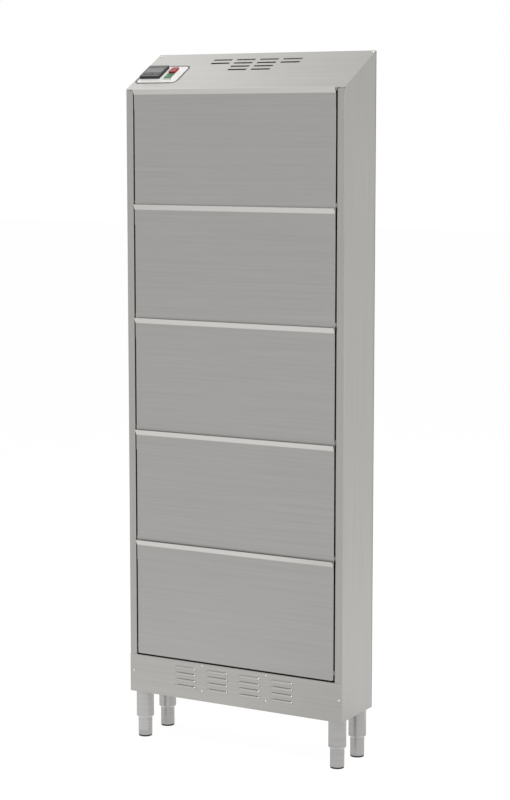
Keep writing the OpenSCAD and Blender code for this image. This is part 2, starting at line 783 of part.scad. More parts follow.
// Rubber buffers on the side panels, which the ears of an open flap meet
module stop_buffers() {
    color(black_plastic)
        for (i = FLAPS, s = [0, 1])
            mirror([s, 0, 0]) translate([0, stop_buffer_y, pivot_z(i) + stop_buffer_up])
                bar_x(inner_x - stop_buffer_length, inner_x, 0, 0, stop_buffer_d);
}

// Rubber buffers on the flange returns, which a shut flap leans on
module closing_buffers() {
    color(black_plastic)
        for (i = FLAPS, s = [0, 1])
            mirror([s, 0, 0]) translate([0, shut_buffer_y, pivot_z(i) + shut_buffer_up])
                bar_x(opening_x - shut_buffer_length, opening_x, 0, 0, shut_buffer_d);
}

// ---------------------------------------------------------------- blower and heater

// Scroll wall in Y and Z: a spiral under and behind the rotor that runs up to the heater frame
module scroll_outline() {
    first = -120;
    steps = 16;
    function gap_r(a) = rotor_radius + rotor_gap + scroll_growth * (a - first) / (0 - first);
    function at(r, a) = [rotor_y + r * cos(a), rotor_z + r * sin(a)];
    angles = [for (k = [0:steps]) first - first * k / steps];
    inside = [for (a = angles) at(gap_r(a), a)];
    outside = [for (a = angles) at(gap_r(a) + housing_sheet, a)];
    polygon(concat(inside, [[scroll_y - housing_sheet, heater_low], [scroll_y, heater_low]],
                   [for (k = [steps:-1:0]) outside[k]]));
}

module blower_housing() {
    plate = [[flange_front, tab_low], [lower_flange_y + body_sheet + joint, tab_low],
             [lower_flange_y + body_sheet + joint, pan_top], [scroll_y, pan_top],
             [scroll_y, heater_low], [tongue_y - joint, heater_low],
             [tongue_y - joint, chamber_low - joint], [flange_front, chamber_low - joint]];
    inner_end = end_x - housing_sheet;
    color("#b9babc") difference() {
        union() {
            for (x = [-end_x, inner_end])
                along_x(x, x + housing_sheet) polygon(plate);
            along_x(-inner_end, inner_end) scroll_outline();
            block([-inner_end, tongue_y, rotor_z + rotor_radius * 0.72],
                  [inner_end, tongue_y + housing_sheet, heater_low]);
            for (x = [-end_x - housing_tab, inner_end])
                block([x, flange_front, tab_low],
                      [x + housing_tab + housing_sheet, flange_front + housing_sheet, chamber_low - joint]);
        }
        for (p = blower_screws)
            translate([p[0], front_y, p[1]]) rotate([-90, 0, 0])
                cylinder(h = 10, d = screw_d + 2 * fit_clearance);
        bar_x(-end_x - 1, 0, rotor_y, rotor_z, bearing_d + fit_clearance);
        bar_x(0, end_x + 1, rotor_y, rotor_z, shaft_d + 6);
    }
}

// Drum of thin blades between discs, on a shaft that runs from the bearing to the motor
module blower_rotor() {
    disc = 1.2;
    half = rotor_length / 2;
    bay = (rotor_length - disc) / 3;
    lean = 25;
    blade = [rotor_length, blade_depth, blade_thickness];
    color("#8f9296") {
        bar_x(-end_x - 6, end_x + motor_core + 8, rotor_y, rotor_z, shaft_d);
        for (k = [0:3])
            bar_x(-half + k * bay, -half + k * bay + disc, rotor_y, rotor_z, 2 * rotor_radius);
        for (k = [0:blade_count - 1])
            translate([-half, rotor_y, rotor_z]) rotate([k * 360 / blade_count, 0, 0])
                translate([0, rotor_radius - blade_depth - 0.5, 0]) rotate([lean, 0, 0])
                    translate([0, 0, -blade_thickness / 2]) cube(blade);
    }
}

// Shaded-pole motor: plate core, coil, end bell and four standoffs on the blower's right end plate
module blower_motor() {
    core_x = end_x + 5;
    bell_d = 30;
    coil = 14;
    half_y = motor_width / 2;
    half_z = motor_height / 2;
    color("#6d6f73") translate([0, rotor_y, rotor_z]) difference() {
        union() {
            block([core_x, -half_y, -half_z], [core_x + motor_core, half_y, half_z]);
            block([core_x - 3, -half_y / 2, -half_z - coil / 2],
                  [core_x + motor_core + 3, half_y / 2, -half_z + coil / 2]);
            bar_x(core_x, core_x + motor_core + 6, 0, 0, bell_d);
            for (sy = [-1, 1], sz = [-1, 1])
                bar_x(end_x, core_x, sy * (half_y - 6), sz * (half_z - 6), 6);
        }
        bar_x(end_x, core_x + motor_core + 7, 0, 0, shaft_d + 2 * pin_clearance);
    }
}

module rotor_bearing() {
    middle = -end_x + housing_sheet / 2;
    color(black_plastic) difference() {
        bar_x(middle - bearing_length / 2, middle + bearing_length / 2, rotor_y, rotor_z, bearing_d);
        bar_x(-side_x, 0, rotor_y, rotor_z, shaft_d + 2 * pin_clearance);
    }
}

heater_z = heater_low + heater_height / 2;
heater_y = (tongue_y + scroll_y) / 2;
heater_rows = [for (k = [0:heater_passes - 1]) heater_y + (k - (heater_passes - 1) / 2) * heater_pitch];
heater_end = 72;

module heater_frame() {
    low = [-end_x, tongue_y, heater_low];
    high = [end_x, scroll_y, chamber_low];
    wall = [housing_sheet, housing_sheet, -1];
    color("#b9babc") difference() {
        block(low, high);
        block(low + wall, high - wall);
        for (y = [heater_rows[0], heater_rows[heater_passes - 1]])
            bar_x(0, end_x + 1, y, heater_z, heater_tube_d + 2 * fit_clearance);
    }
}

// Tube bent to and fro, with both ends out of the frame's right wall
module heater_element() {
    last = heater_passes - 1;
    terminal = end_x + 12;
    color("#4b4542") translate([0, 0, heater_z]) {
        for (k = [0:last])
            bar_x(-heater_end, k == 0 || k == last ? terminal : heater_end, heater_rows[k], 0, heater_tube_d);
        for (k = [0:last - 1]) {
            side = k % 2 == 0 ? -1 : 1;
            translate([side * heater_end, (heater_rows[k] + heater_rows[k + 1]) / 2, 0])
                rotate([0, 0, -side * 90])
                    rotate_extrude(angle = 180) translate([heater_pitch / 2, 0]) circle(d = heater_tube_d);
        }
    }
}

module safety_thermostat() {
    cap = 9;
    tag = 7;
    color(black_plastic) translate([0, tongue_y - cap, heater_z]) {
        rotate([-90, 0, 0]) cylinder(h = cap, d = 16);
        for (s = [-1, 1])
            block([s * 4 - 2, -tag, -0.5], [s * 4 + 2, 0, 0.5]);
    }
}

// ---------------------------------------------------------------- controls

module control_label() {
    color("#e4e4e2")
        on_roof(label_x, label_up, 0) difference() {
            translate([0, 0, adhesive])
                linear_extrude(label_thickness - adhesive)
                    rounded_rect([label_width, label_length], label_corner);
            translate([-controller_left, controller_up, 0])
                cube([controller_body + 1, controller_body + 1, 4], center = true);
            translate([switch_right, -switch_down, -1]) cylinder(h = 3, d = barrel_d + 2 * fit_clearance);
        }
}

// Square panel controller: bezel on the label, body behind the roof
module controller_case() {
    top = label_thickness + controller_proud;
    half = controller_size / 2;
    window = half - face_rim;
    color(black_plastic)
        on_roof(controller_x, controller_s, 0) difference() {
            union() {
                block([-half, -half, label_thickness], [half, half, top]);
                translate([0, 0, -controller_depth])
                    block([-controller_body / 2, -controller_body / 2, 0],
                          [controller_body / 2, controller_body / 2, controller_depth + label_thickness + 1]);
            }
            block([-window, -window, top - face_recess], [window, window, top + 1]);
        }
}

module controller_face() {
    half = controller_size / 2 - face_rim - fit_clearance;
    top = label_thickness + controller_proud;
    color("#7b7c7e")
        on_roof(controller_x, controller_s, 0)
            block([-half, -half, top - face_recess], [half, half, top - 0.2]);
}

// Body of the double push-button, with a well for each cap and a barrel through the roof
module switch_body() {
    well = [button_width + 2 * button_clearance, button_length + 2 * button_clearance, 20];
    color("#dededb")
        on_roof(switch_x, switch_s, 0) difference() {
            union() {
                translate([0, 0, label_thickness])
                    linear_extrude(switch_proud) rounded_rect([switch_width, switch_length], 2);
                translate([0, 0, label_thickness - barrel_length]) cylinder(h = barrel_length, d = barrel_d);
            }
            for (s = [-1, 1])
                translate([-well[0] / 2, s * button_pitch / 2 - well[1] / 2, well_floor]) cube(well);
        }
}

module button_cap(side, top) {
    on_roof(switch_x, switch_s + side * button_pitch / 2, cap_low)
        linear_extrude(top - cap_low) rounded_rect([button_width, button_length], 1.5);
}

module start_button() { color("#2f7d3a") button_cap(-1, body_top + start_proud); }
module stop_button() { color("#b3202c") button_cap(1, body_top + stop_proud); }

module switch_nut() {
    color("#4a4b4d")
        on_roof(switch_x, switch_s, roof_low - 4) difference() {
            cylinder(h = 4, d = barrel_d + 8);
            translate([0, 0, -1]) cylinder(h = 6, d = barrel_d + 2 * fit_clearance);
        }
}

module contact_block() {
    top = label_thickness - barrel_length;
    color("#d8d8d4")
        on_roof(switch_x, switch_s, top - 32) {
            translate([-14, -20, 0]) cube([28, 40, 32]);
            for (s = [-1, 1])
                translate([-11, s * 14 - 3, -2]) cube([22, 6, 2]);
        }
}

// ---------------------------------------------------------------- legs

module at_leg(i) {
    translate([leg_at(i)[0], leg_at(i)[1], 0]) children();
}

// Tube under the floor pan, closed at its top, with a stud through the pan
module leg_sleeve(i) {
    cap = 8;
    color(steel) at_leg(i) difference() {
        union() {
            translate([0, 0, sleeve_low + sleeve_bevel])
                cylinder(h = sleeve_length - sleeve_bevel, d = sleeve_d);
            translate([0, 0, sleeve_low])
                cylinder(h = sleeve_bevel, d1 = sleeve_d - 2 * sleeve_bevel, d2 = sleeve_d);
            translate([0, 0, body_z - 1]) cylinder(h = body_sheet + stud_length + 1, d = stud_d);
        }
        translate([0, 0, sleeve_low - 1])
            cylinder(h = sleeve_length - cap + 1, d = foot_d + 2 * foot_clearance);
    }
}

module foot(i) {
    top = sleeve_low + foot_inside;
    color(steel) at_leg(i) difference() {
        translate([0, 0, pad_height]) cylinder(h = top - pad_height, d = foot_d);
        translate([0, 0, pad_height + 3 * foot_wall]) cylinder(h = top, d = foot_d - 2 * foot_wall);
    }
}

module foot_pad(i) {
    color(black_plastic) at_leg(i) cylinder(h = pad_height, d = foot_d - pad_step);
}

module leg_nuts() {
    across = 1.96 * stud_d;
    color(bright_steel)
        for (i = LEGS)
            at_leg(i) translate([0, 0, pan_top]) difference() {
                cylinder(h = nut_height, d = across, $fn = 6);
                translate([0, 0, -1]) cylinder(h = nut_height + 2, d = stud_d + 2 * fit_clearance);
            }
}

// Gland for the supply cable: cap and hexagon under the floor pan, thread and nut above it
module cable_gland() {
    cable_d = 9;
    color(black_plastic) translate([gland_x, gland_y, 0]) difference() {
        union() {
            translate([0, 0, body_z - 18]) cylinder(h = 12, d1 = 15, d2 = 22);
            translate([0, 0, body_z - 6]) cylinder(h = 6, d = 27, $fn = 6);
            translate([0, 0, body_z - 1]) cylinder(h = body_sheet + 12, d = gland_thread_d);
            translate([0, 0, pan_top]) cylinder(h = 5, d = 27, $fn = 6);
        }
        translate([0, 0, body_z - 20]) cylinder(h = 40, d = cable_d);
    }
}

// ---------------------------------------------------------------- screws

module plinth_screws() {
    for (p = plinth_screw_places)
        translate([p[0], front_y, p[1]]) rotate([90, 0, 0]) pan_screw(screw_length);
}

module roof_screws() {
    for (s = [-1, 1])
        on_roof(s * roof_screw_x, roof_screw_s, 0) pan_screw(screw_length - 1);
}

module back_screws() {
    color(bright_steel)
        for (p = back_screw_places)
            translate([p[0], rear_y, p[1]]) rotate([-90, 0, 0]) difference() {
                sunk_shape(screw_length, 0);
                cross_recess();
            }
}

left_side_panel();
right_side_panel();
back_panel();
roof_panel();
plinth_panel();
floor_pan();
chamber_floor();
control_box();
wire_duct();
for (i = FLAPS) {
    flap_panel(i);
    shoe_tray(i);
    flap_bushes(i);
}
hinge_pins();
stop_buffers();
closing_buffers();
blower_housing();
blower_rotor();
blower_motor();
rotor_bearing();
heater_frame();
heater_element();
safety_thermostat();
control_label();
controller_case();
controller_face();
switch_body();
start_button();
stop_button();
switch_nut();
contact_block();
for (i = LEGS) {
    leg_sleeve(i);
    foot(i);
    foot_pad(i);
}
leg_nuts();
cable_gland();
plinth_screws();
roof_screws();
back_screws();
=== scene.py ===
# A drying cabinet for shoes: a tall, shallow steel body on four legs, five tilt-out flaps with a
# tray behind each, a louvred plinth over the blower, and a sloping roof with the controls.
# Lengths are in metres. The front faces -Y, +X is to the right from the front, +Z is up.
import math

import bmesh
import bpy
from mathutils import Matrix, Vector


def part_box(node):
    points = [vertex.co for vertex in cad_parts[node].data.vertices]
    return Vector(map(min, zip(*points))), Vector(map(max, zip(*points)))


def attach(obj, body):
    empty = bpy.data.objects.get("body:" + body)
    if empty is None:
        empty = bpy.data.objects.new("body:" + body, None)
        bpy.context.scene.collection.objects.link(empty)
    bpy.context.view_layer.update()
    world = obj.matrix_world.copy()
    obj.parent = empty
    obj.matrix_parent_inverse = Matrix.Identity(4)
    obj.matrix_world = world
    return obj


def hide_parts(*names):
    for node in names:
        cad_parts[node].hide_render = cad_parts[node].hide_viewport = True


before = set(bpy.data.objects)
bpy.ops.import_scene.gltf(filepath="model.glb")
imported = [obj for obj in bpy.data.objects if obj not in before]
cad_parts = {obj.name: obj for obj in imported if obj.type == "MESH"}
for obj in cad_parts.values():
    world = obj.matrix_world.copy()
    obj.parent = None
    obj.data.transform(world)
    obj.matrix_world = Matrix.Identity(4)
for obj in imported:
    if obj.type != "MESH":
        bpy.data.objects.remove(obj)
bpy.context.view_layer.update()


# ---------------------------------------------------------------- side panels, back and wire duct
# Folded panels of 1.5 mm stainless sheet that stand upright, screwed together down the rear
# flanges. The mill brushes such sheet along its length, so the grain of these runs from top to
# bottom.

def linear(colour):
    """The linear colour of an sRGB hex value such as a6a5a2."""
    parts = [int(colour[k:k + 2], 16) / 255 for k in (0, 2, 4)]
    return [p / 12.92 if p <= 0.04045 else ((p + 0.055) / 1.055) ** 2.4 for p in parts] + [1.0]


def add_node(tree, kind, inputs=None, **settings):
    """Adds a shader node with its settings, and fills its inputs with values or other outputs."""
    node = tree.nodes.new("ShaderNode" + kind)
    for name, value in settings.items():
        setattr(node, name, value)
    for socket, value in (inputs or {}).items():
        if isinstance(value, bpy.types.NodeSocket):
            tree.links.new(value, node.inputs[socket])
        else:
            node.inputs[socket].default_value = value
    return node


def new_finish(name, **settings):
    """A new material, its node tree and the coordinates that its patterns use."""
    material = bpy.data.materials.new(name)
    material.use_nodes = True
    tree = material.node_tree
    for socket, value in settings.items():
        tree.nodes["Principled BSDF"].inputs[socket.replace("_", " ")].default_value = value
    return material, tree, add_node(tree, "TexCoord").outputs["Object"]


def grain(tree, place, cells, detail=2.0):
    """A cloudy pattern from 0 to 1 whose cells measure (x, y, z) metres."""
    scaled = add_node(tree, "Mapping", {"Vector": place, "Scale": [1 / c for c in cells]})
    noise = {"Vector": scaled.outputs[0], "Scale": 1.0, "Detail": detail}
    return add_node(tree, "TexNoise", noise).outputs[0]


# Nearly all values of a grain lie in this span.
grain_span = (0.25, 0.75)


def lay_patterns(tree, tone, tones, wear, roughness, tone_span=grain_span, wear_span=grain_span,
                 relief=None):
    """Patterns lead the surface: the colour goes from the first of tones to the second as tone
    crosses its span, and the roughness likewise with wear. relief is the pattern that raises the
    surface, its strength and its height."""
    shader = tree.nodes["Principled BSDF"].inputs
    share = add_node(tree, "MapRange", {"Value": tone, "From Min": tone_span[0], "From Max": tone_span[1]})
    colours = {"Factor": share.outputs[0], 6: linear(tones[0]), 7: linear(tones[1])}
    tree.links.new(add_node(tree, "Mix", colours, data_type="RGBA").outputs[2], shader["Base Color"])
    worn = {"Value": wear, "From Min": wear_span[0], "From Max": wear_span[1],
            "To Min": roughness[0], "To Max": roughness[1]}
    tree.links.new(add_node(tree, "MapRange", worn).outputs[0], shader["Roughness"])
    if relief:
        bumps = {"Height": relief[0], "Strength": relief[1], "Distance": relief[2]}
        tree.links.new(add_node(tree, "Bump", bumps).outputs[0], shader["Normal"])


def brushed_sheet(name, tones, grain_axis):
    """Brushed stainless sheet. Belt scratches are a tenth of a millimetre wide; they are drawn
    0.8 mm wide here, and the streaks among them 5 mm, so that they show from a step away."""
    material, tree, place = new_finish(name, Metallic=1.0)
    scratch_width = 0.0008
    scratch_length = 0.06
    streak_width = 0.005
    streak_length = 0.45
    cloud = 0.2
    along = [axis == grain_axis for axis in "xyz"]
    scratches = grain(tree, place, [scratch_length if a else scratch_width for a in along], 3.0)
    streaks = grain(tree, place, [streak_length if a else streak_width for a in along])
    clouds = grain(tree, place, (cloud, cloud, cloud))
    tone = add_node(tree, "Math", {0: clouds, 1: 0.3, 2: streaks}, operation="MULTIPLY_ADD").outputs[0]
    tone = add_node(tree, "Math", {0: scratches, 1: 0.9, 2: tone}, operation="MULTIPLY_ADD").outputs[0]
    wear = add_node(tree, "Math", {0: clouds, 1: 0.3, 2: scratches}, operation="MULTIPLY_ADD").outputs[0]
    lay_patterns(tree, tone, tones, wear, (0.39, 0.45), (0.8, 1.4), (0.4, 0.9),
                 relief=(scratches, 0.3, 0.00005))
    return material


def dress(material, *nodes):
    """Gives CAD nodes, which keep their shape, a finish."""
    for node in nodes:
        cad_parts[node].material_slots[0].material = material


dress(brushed_sheet("stainless_brushed_upright", ("a09e9b", "a8a7a4"), "z"),
      "left_side_panel", "right_side_panel", "back_panel", "wire_duct")


# ---------------------------------------------------------------- floor pan, chamber floor and roof
# Folded plates of the same sheet that lie across the cabinet, with the grain from side to side:
# the pan that carries the legs, the slotted plate over the blower, the roof with its outlet
# slots, the plinth with its pressed louvres and the box behind the controls.

level_tones = ("a2a09d", "aaa9a6")
dress(brushed_sheet("stainless_brushed_level", level_tones, "x"),
      "floor_pan", "chamber_floor", "roof_panel", "control_box")


def paint_highlight(material, axis, span, tone, roughness):
    """Paints a highlight as a lighter tone, with a smoother roughness, below the low end of span along an
    axis, fading out to its high end.
    """
    tree = material.node_tree
    shader = tree.nodes["Principled BSDF"].inputs
    parts = add_node(tree, "SeparateXYZ", {0: add_node(tree, "TexCoord").outputs["Object"]})
    fade = {"Value": parts.outputs["xyz".index(axis)], "From Min": span[0], "From Max": span[1],
            "To Min": 1.0, "To Max": 0.0}
    highlight_mask = add_node(tree, "MapRange", fade).outputs[0]
    colours = {"Factor": highlight_mask, 6: shader["Base Color"].links[0].from_socket, 7: linear(tone)}
    worn = {"Factor": highlight_mask, 2: shader["Roughness"].links[0].from_socket, 3: roughness}
    tree.links.new(add_node(tree, "Mix", colours, data_type="RGBA").outputs[2], shader["Base Color"])
    tree.links.new(add_node(tree, "Mix", worn).outputs[0], shader["Roughness"])


# The hoods of the louvres stand out from the plinth and are smoother than the brushed sheet around them. A
# lighter tone is painted on them as a highlight, so that their rounded ends show brighter glints.
plinth_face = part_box("left_side_panel")[0].y
hood_highlight_full = 0.0022
hood_foot = 0.0002
plinth_steel = brushed_sheet("stainless_louvres_painted_highlight", level_tones, "x")
# b4b3b0 is the painted highlight on the hoods.
paint_highlight(plinth_steel, "y", (plinth_face - hood_highlight_full, plinth_face - hood_foot), "b4b3b0", 0.3)
dress(plinth_steel, "plinth_panel")


# ---------------------------------------------------------------- blower housing and heater frame
# Bent from zinc-coated sheet and screwed to the plinth from the front. Hot-dip zinc freezes in
# flat crystals about a centimetre across, each a little lighter or darker than the next.

crystal_size = 0.011
crystal_span = (0.0, 1.0)
zinc, tree, place = new_finish("zinc_spangled", Metallic=1.0)
crystals = add_node(tree, "TexVoronoi", {"Vector": place, "Scale": 1 / crystal_size})
crystal = add_node(tree, "SeparateColor", {"Color": crystals.outputs["Color"]}).outputs[0]
lay_patterns(tree, crystal, ("a9adb0", "bfc2c4"), crystal, (0.32, 0.5), crystal_span, crystal_span)
dress(zinc, "blower_housing", "heater_frame")


# ---------------------------------------------------------------- blower rotor, motor and bearing
# A drum of thin aluminium blades pressed between discs, on a steel shaft. The motor beside it is a
# stack of steel plates with a taped coil; the far end turns in a rubber-mounted bush.

def finish(name, tones, roughness, cells, detail=2.0, wear_cells=None, wear_detail=2.0, relief=None,
           **settings):
    """A finish led by a grain with cells of (x, y, z) metres. Wear may have cells of its own, and
    relief gives the strength and height of bumps that follow the wear."""
    material, tree, place = new_finish(name, **settings)
    tone = grain(tree, place, cells, detail)
    wear = grain(tree, place, wear_cells, wear_detail) if wear_cells else tone
    lay_patterns(tree, tone, tones, wear, roughness, relief=(wear, *relief) if relief else None)
    return material


# Aluminium strip as rolled: a soft grey sheen with faint lines along the blades.
dress(finish("aluminium_mill_finish", ("a8abad", "bdbfc1"), (0.34, 0.46), (0.03, 0.0012, 0.0012),
             Metallic=1.0),
      "blower_rotor")

# Punched iron plates, stacked and dipped in brown varnish, which dries glossy over the dark edges.
# The plates are half a millimetre thick, and are drawn 1.1 mm thick so that they show.
dress(finish("iron_plates_varnished", ("3a3530", "6a655f"), (0.4, 0.6), (0.0011, 1.0, 1.0), 0.0,
             relief=(0.6, 0.0003), Metallic=0.6, Coat_Weight=0.4, Coat_Roughness=0.25),
      "blower_motor")


# ---------------------------------------------------------------- heater element
# A sheathed steel tube bent to and fro. Heat has tinted the drawn steel in patches from straw to
# brown, which leaves it dark and half dull.

dress(finish("steel_heat_tinted", ("4a403a", "7d6a56"), (0.35, 0.6), (0.05, 0.01, 0.01), 3.0,
             Metallic=1.0),
      "heater_element")


# ---------------------------------------------------------------- shoe trays
# One welded tray behind each flap, of plain 1.2 mm sheet as it comes from the mill: smoother than
# the brushed body, with faint rolling lines from side to side and rubbed spots where shoes stand.

dress(finish("stainless_mill_finish", ("a9a9a6", "b6b6b3"), (0.26, 0.44), (0.3, 0.004, 0.004),
             wear_cells=(0.07, 0.05, 0.05), wear_detail=4.0, Metallic=1.0),
      *[f"shoe_tray_{k}" for k in range(1, 6)])


# ---------------------------------------------------------------- flaps
# Each front is one folded sheet of 1.2 mm, brushed from side to side. Its pull lip is bent out of the same
# sheet and is smoother than the front, and a lighter tone is painted on it as a highlight.

lip_out = 0.0085
lip_highlight_full = 0.0012
lip_foot = 0.0004
front_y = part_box("flap_panel_1")[0].y + lip_out
fronts = brushed_sheet("stainless_brushed_fronts_painted_lip_highlight", ("9e9c9a", "a4a3a1"), "x")
# bdbcb9 is the painted highlight on the pull lips.
paint_highlight(fronts, "y", (front_y - lip_highlight_full, front_y - lip_foot), "bdbcb9", 0.34)
dress(fronts, *[f"flap_panel_{k}" for k in range(1, 6)])


# ---------------------------------------------------------------- bushes, pins, screws and buffers
# The flaps turn on bright steel pins in plastic bushes. Soft black rubber buffers catch an open
# flap and cushion a shut one, and the same steel and rubber serve the screws and the bearing.

# Off-white low-friction plastic, turned from rod: waxy, with faint tool marks round the axis.
dress(finish("acetal_turned", ("dedacd", "efece2"), (0.35, 0.5), (0.0006, 0.02, 0.02), IOR=1.48,
             Subsurface_Weight=0.1, Subsurface_Scale=0.002),
      *[f"flap_bushes_{k}" for k in range(1, 6)])

# Stainless wire pressed cold in a polished die, which leaves it bright with small dull flecks.
dress(finish("stainless_cold_headed", ("b4b4b1", "cbcbc8"), (0.2, 0.34), (0.002, 0.002, 0.002), 3.0,
             Metallic=1.0),
      "hinge_pins", "leg_nuts", "plinth_screws", "roof_screws", "back_screws")

# Moulded rubber, dull and nearly black, with the pale bloom that it sweats out as it ages.
dress(finish("rubber_moulded", ("191919", "2b2b2a"), (0.62, 0.85), (0.004, 0.004, 0.004), 4.0,
             relief=(0.3, 0.0002), IOR=1.5),
      "stop_buffers", "closing_buffers", "rotor_bearing")


# ---------------------------------------------------------------- control label
# A printed film stuck on the roof around the controls: near-white with a dark grey line round its
# edge and rounded corners. Its fine leathery emboss, drawn 0.7 mm wide, keeps it from glaring.

dress(finish("polyester_film_printed", ("ecece9", "f4f4f2"), (0.38, 0.5), (0.04, 0.04, 0.04),
             wear_cells=(0.0007, 0.0007, 0.0007), relief=(0.15, 0.00005), IOR=1.5),
      "control_label")

# The roof slopes up to the rear, so what lies on it is made flat and then laid on the slope.
roof_rise = 0.105
roof_low, roof_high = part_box("roof_panel")
slope = math.atan2(roof_rise, roof_high.y - roof_low.y)
roof_edge = Vector((0.0, roof_low.y, roof_high.z - roof_rise))
on_roof = Matrix.Translation(roof_edge) @ Matrix.Rotation(slope, 4, "X")


def roof_place(node):
    """Middle of a CAD node: x across the roof, y up the slope, z out of it."""
    low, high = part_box(node)
    return on_roof.inverted() @ ((low + high) / 2)


def roof_size(node):
    """Size of a block that lies on the roof, in the same directions."""
    low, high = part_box(node)
    span = high - low
    flat = (span.y * math.cos(slope) - span.z * math.sin(slope)) / math.cos(2 * slope)
    tall = (span.z * math.cos(slope) - span.y * math.sin(slope)) / math.cos(2 * slope)
    return Vector((span.x, flat, tall))


def rounded_plate(width, length, corner, steps):
    """A flat plate with round corners, in the XY plane."""
    plate = bmesh.new()
    bmesh.ops.create_grid(plate, x_segments=1, y_segments=1, size=0.5)
    bmesh.ops.scale(plate, vec=(width, length, 1.0), verts=plate.verts)
    bmesh.ops.bevel(plate, geom=plate.verts[:], offset=corner, segments=steps, profile=0.5,
                    affect="VERTICES", material=-1)
    return plate


def thicken(shape, low, high):
    """Makes a flat shape in the XY plane a closed block from low to high."""
    bmesh.ops.translate(shape, vec=(0, 0, low), verts=shape.verts)
    made = bmesh.ops.extrude_face_region(shape, geom=shape.faces[:], use_keep_orig=True)
    upper = [v for v in made["geom"] if isinstance(v, bmesh.types.BMVert)]
    bmesh.ops.translate(shape, vec=(0, 0, high - low), verts=upper)
    bmesh.ops.recalc_face_normals(shape, faces=shape.faces)


def lay_on_roof(shape, at):
    """Moves a shape from the XY plane to a place on the roof."""
    bmesh.ops.transform(shape, matrix=on_roof @ Matrix.Translation((at.x, at.y, 0.0)), verts=shape.verts)


def finish_piece(name, shape, material, body, slot, *replaced):
    """Makes a bmesh a piece: smooth but for its corners, with its finish and body. slot is not used."""
    smooth_limit = math.radians(35)
    for edge in shape.edges:
        edge.smooth = edge.is_manifold and edge.calc_face_angle() < smooth_limit
    for face in shape.faces:
        face.smooth = True
    mesh = bpy.data.meshes.new(name)
    shape.to_mesh(mesh)
    shape.free()
    mesh.materials.append(material)
    piece = bpy.data.objects.new(name, mesh)
    bpy.context.scene.collection.objects.link(piece)
    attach(piece, body)
    if replaced:
        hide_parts(*replaced)


label_at = roof_place("control_label")
label_size = roof_size("control_label")
label_top = label_at.z + label_size.z / 2
label_corner = 0.018
border_width = 0.0055
border_thickness = 0.00008
border = rounded_plate(label_size.x, label_size.y, label_corner, 10)
ring = bmesh.ops.inset_region(border, faces=border.faces[:], thickness=border_width, use_boundary=True,
                              use_even_offset=True)
bmesh.ops.delete(border, geom=[f for f in border.faces if f not in ring["faces"]], context="FACES")
thicken(border, label_top, label_top + border_thickness)
lay_on_roof(border, label_at)

# Dark grey ink, screen-printed in a thin even coat that takes the film's emboss.
ink = finish("printing_ink_grey", ("333334", "404041"), (0.4, 0.52), (0.003, 0.003, 0.003),
             wear_cells=(0.0007, 0.0007, 0.0007), IOR=1.5)
finish_piece("label_border", border, ink, "cabinet", "label_film")


# ---------------------------------------------------------------- controller
# A square panel instrument, clipped through the roof: a moulded black case with a slim rim round a
# grey front of smoked plastic, which hides the display above and three keys below a seam.

# ABS from a spark-eroded mould: black, with a fine satin texture, drawn 0.6 mm wide.
black = finish("abs_fine_textured", ("1b1c1e", "26272a"), (0.42, 0.58), (0.02, 0.02, 0.02),
               wear_cells=(0.0006, 0.0006, 0.0006), relief=(0.25, 0.0001), IOR=1.53)
dress(black, "cable_gland", "safety_thermostat")

case_low, case_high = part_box("controller_case")
case_size = case_high.x - case_low.x
case_at = roof_place("controller_face")
case_corner = 0.0025
case_edge = 0.0009
face_recess = 0.001
face_below_rim = 0.0002
case_top = case_at.z + roof_size("controller_face").z / 2 + face_below_rim
rim_width = 0.0008
step_width = 0.00005
back_size = 0.060
back_corner = 0.002
back_depth = 0.0483
back_overlap = 0.0005


def rounded_block(width, length, corner, low, high, steps):
    """A block with round corners, from low to high."""
    shape = rounded_plate(width, length, corner, steps)
    thicken(shape, low, high)
    return shape


def round_edges(shape, height, radius, steps):
    """Rounds the edges that lie level at a height."""
    level = [e for e in shape.edges if all(abs(v.co.z - height) < 1e-6 for v in e.verts)]
    bmesh.ops.bevel(shape, geom=level, offset=radius, segments=steps, profile=0.5, affect="EDGES",
                    material=-1)


def add_shape(whole, part, at):
    """Puts a shape from the XY plane into a larger one and frees it."""
    bmesh.ops.translate(part, vec=at, verts=part.verts)
    carrier = bpy.data.meshes.new("carrier")
    part.to_mesh(carrier)
    part.free()
    whole.from_mesh(carrier)
    bpy.data.meshes.remove(carrier)


case = rounded_block(case_size, case_size, case_corner, label_top, case_top, 6)
round_edges(case, case_top, case_edge, 3)
front = [f for f in case.faces if f.normal.z > 0.99]
bmesh.ops.inset_region(case, faces=front, thickness=rim_width, use_even_offset=True)
bmesh.ops.inset_region(case, faces=front, thickness=step_width, depth=-face_recess)
behind = rounded_block(back_size, back_size, back_corner, label_top - back_depth,
                       label_top + back_overlap, 4)
add_shape(case, behind, (0, 0, 0))
lay_on_roof(case, case_at)
finish_piece("controller_housing", case, black, "cabinet", "black_plastic", "controller_case")

face_gap = 0.0012
face_size = case_size - 2 * rim_width - 2 * face_gap
face_corner = 0.001
face_top = case_top - face_below_rim
seam_width = 0.0007
seam_depth = 0.0004
seams_up = (-0.0107, -0.0226)


def score(shape, point, normal):
    """Cuts a line across a shape's faces, where a plane meets them."""
    bmesh.ops.bisect_plane(shape, geom=shape.verts[:] + shape.edges[:] + shape.faces[:],
                           plane_co=point, plane_no=normal)


face = rounded_block(face_size, face_size, face_corner, case_top - face_recess, face_top, 3)
for seam_up in seams_up:
    score(face, (0, seam_up - seam_width / 2, 0), (0, 1, 0))
    score(face, (0, seam_up + seam_width / 2, 0), (0, 1, 0))
    seam = [f for f in face.faces
            if f.normal.z > 0.9 and abs(f.calc_center_median().y - seam_up) < seam_width / 2]
    bmesh.ops.inset_region(face, faces=seam, thickness=step_width, depth=-seam_depth)

